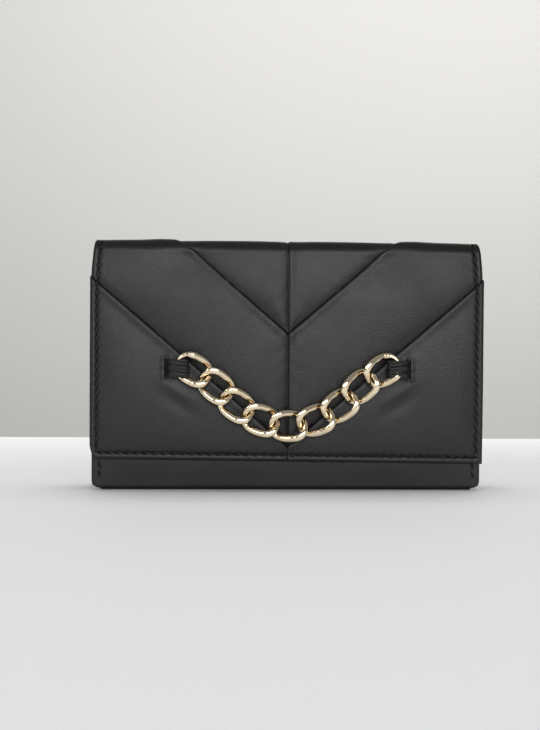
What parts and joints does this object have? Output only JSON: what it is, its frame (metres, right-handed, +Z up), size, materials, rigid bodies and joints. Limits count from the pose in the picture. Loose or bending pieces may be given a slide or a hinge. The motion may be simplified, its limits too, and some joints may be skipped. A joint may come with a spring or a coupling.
{
  "type": "chain wallet",
  "caption": "Flap-over black leather wallet with a padded chevron flap, a curb chain hung between two leather tabs, a zipped pocket, card slots and folding sides.",
  "frame": {"origin": "middle of the face that the wallet stands on, midway between the case's front and back faces", "axes": "+X across the wallet to the right seen from the front, +Y from front to back, +Z up; the flap and chain are on the -Y side"},
  "size_m": [0.19, 0.0355, 0.12],
  "materials": {
    "black_leather": "smooth black leather, fine grain, soft sheen",
    "inner_leather": "thin black leather of the card slots",
    "lining_fabric": "black woven lining",
    "stiffener_board": "pressed fibre board between leather and lining",
    "thread": "black bonded thread",
    "zip_tape": "black woven tape",
    "zip_metal": "pale gold plated metal",
    "snap_metal": "pale gold plated metal",
    "chain_gold": "polished pale gold plating"
  },
  "bodies": {
    "case": {"back_panel": "black_leather", "back_board": "stiffener_board", "back_lining": "lining_fabric", "base_board": "stiffener_board", "card_slot_1": "inner_leather", "card_slot_2": "inner_leather", "card_slot_3": "inner_leather", "divider_front": "lining_fabric", "divider_back": "lining_fabric", "zip_tape_front": "zip_tape", "zip_tape_back": "zip_tape", "zip_teeth_front": "zip_metal", "zip_teeth_back": "zip_metal", "zip_stops": "zip_metal", "gusset_front_left": "black_leather", "gusset_front_right": "black_leather", "gusset_back_left": "black_leather", "gusset_back_right": "black_leather", "back_stitching": "thread"},
    "front_pocket": {"front_panel": "black_leather", "front_board": "stiffener_board", "front_lining": "lining_fabric", "snap_socket": "snap_metal", "snap_socket_washer": "snap_metal", "front_stitching": "thread"},
    "spine": {"spine_leather": "black_leather", "spine_lining": "lining_fabric", "spine_board": "stiffener_board"},
    "flap": {"flap_upper_left": "black_leather", "flap_upper_right": "black_leather", "flap_middle_left": "black_leather", "flap_middle_right": "black_leather", "flap_lower_left": "black_leather", "flap_lower_right": "black_leather", "flap_board": "stiffener_board", "flap_lining": "lining_fabric", "snap_stud": "snap_metal", "snap_stud_washer": "snap_metal", "flap_stitching": "thread", "tab_root_left": "black_leather", "tab_root_right": "black_leather"},
    "chain": {"chain_link_1": "chain_gold", "chain_link_2": "chain_gold", "chain_link_3": "chain_gold", "chain_link_4": "chain_gold", "chain_link_5": "chain_gold", "chain_link_6": "chain_gold", "chain_link_7": "chain_gold", "chain_link_8": "chain_gold", "chain_link_9": "chain_gold", "tab_loop_left": "black_leather", "tab_loop_right": "black_leather"},
    "zip_slider": {"zip_slider": "zip_metal"},
    "zip_pull": {"zip_pull": "zip_metal"}
  },
  "joints": [
    {"name": "spine_fold", "type": "hinge", "parent": "case", "child": "spine", "pos_m": [0, 0.01071, 0.11871], "axis": [-1, 0, 0], "range_deg": [0, 90]},
    {"name": "flap_fold", "type": "hinge", "parent": "spine", "child": "flap", "pos_m": [0, -0.01411, 0.11871], "axis": [-1, 0, 0], "range_deg": [0, 90]},
    {"name": "pocket_open", "type": "hinge", "parent": "case", "child": "front_pocket", "pos_m": [0, -0.012, 0], "axis": [1, 0, 0], "range_deg": [0, 8], "deforming": ["gusset_front_left", "gusset_front_right"]},
    {"name": "chain_swing", "type": "hinge", "parent": "flap", "child": "chain", "pos_m": [0, -0.0199, 0.0647], "axis": [-1, 0, 0], "range_deg": [0, 40]},
    {"name": "zip_slide", "type": "slide", "parent": "case", "child": "zip_slider", "axis": [-1, 0, 0], "range_m": [0, 0.148]},
    {"name": "pull_turn", "type": "hinge", "parent": "zip_slider", "child": "zip_pull", "pos_m": [0.074, -0.0004, 0.09205], "axis": [0, 1, 0], "range_deg": [0, 180]}
  ],
  "couplings": [
    {"joint": "flap_fold", "follows": "spine_fold", "ratio": 1},
    {"joint": "pocket_open", "follows": "spine_fold", "ratio": 0.0888}
  ]
}
